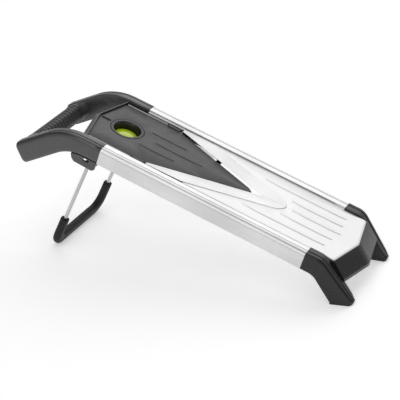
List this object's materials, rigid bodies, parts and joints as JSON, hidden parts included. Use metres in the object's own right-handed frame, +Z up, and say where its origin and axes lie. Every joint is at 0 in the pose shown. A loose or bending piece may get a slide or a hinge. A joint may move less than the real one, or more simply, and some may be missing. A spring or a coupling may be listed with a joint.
{
  "type": "mandoline slicer",
  "caption": "V-blade kitchen mandoline slicer with aluminium rails, a lift-out insert, a release button, a ribbed handle and a folding wire leg.",
  "frame": {"origin": "on the standing surface, under the middle of the slicer's box", "axes": "+Z up, +Y from the front feet towards the handle, +X across the board to the right"},
  "size_m": [0.1308, 0.3814, 0.1445],
  "materials": {
    "satin_aluminium": "satin",
    "bright_sheet": "brushed",
    "blade_steel": "polished",
    "grey_insert": "satin",
    "spring_steel": "satin",
    "black_plastic": "satin",
    "black_rubber": "matte",
    "lime_plastic": "gloss",
    "leg_steel": "bright",
    "screw_steel": "plated"
  },
  "bodies": {
    "board": {"rail_left": "satin_aluminium", "rail_right": "satin_aluminium", "lower_plate": "bright_sheet", "blade_left": "blade_steel", "blade_right": "blade_steel", "blade_rivets": "blade_steel", "button_spring": "spring_steel", "blade_carrier": "black_plastic", "button_bezel": "black_plastic", "button_housing": "black_plastic", "cross_brace": "black_plastic", "handle_frame": "black_plastic", "rear_crossbar": "black_plastic", "front_frame": "black_plastic", "leg_bracket_left": "black_plastic", "leg_bracket_right": "black_plastic", "handle_grip": "black_rubber", "foot_pad_left": "black_rubber", "foot_pad_right": "black_rubber", "handle_screws": "screw_steel", "front_frame_screws": "screw_steel", "bracket_screws": "screw_steel", "brace_screws": "screw_steel", "housing_screws": "screw_steel"},
    "leg": {"leg_wire": "leg_steel", "leg_foot_sleeve": "black_rubber"},
    "insert": {"slicing_insert": "grey_insert", "insert_clip_left": "spring_steel", "insert_clip_right": "spring_steel"},
    "button": {"release_button": "lime_plastic"}
  },
  "joints": [
    {"name": "leg_fold", "type": "hinge", "parent": "board", "child": "leg", "pos_m": [0, 0.10676, 0.11195], "axis": [-1, 0, 0], "range_deg": [0, 92]},
    {"name": "insert_lift", "type": "slide", "parent": "board", "child": "insert", "axis": [0, -0.3256, 0.9455], "range_m": [0, 0.06]},
    {"name": "button_press", "type": "slide", "parent": "board", "child": "button", "axis": [0, 0.3256, -0.9455], "range_m": [0, 0.003], "stiffness_N_per_m": 900, "springref_m": -0.002, "deforming": ["button_spring"]}
  ]
}
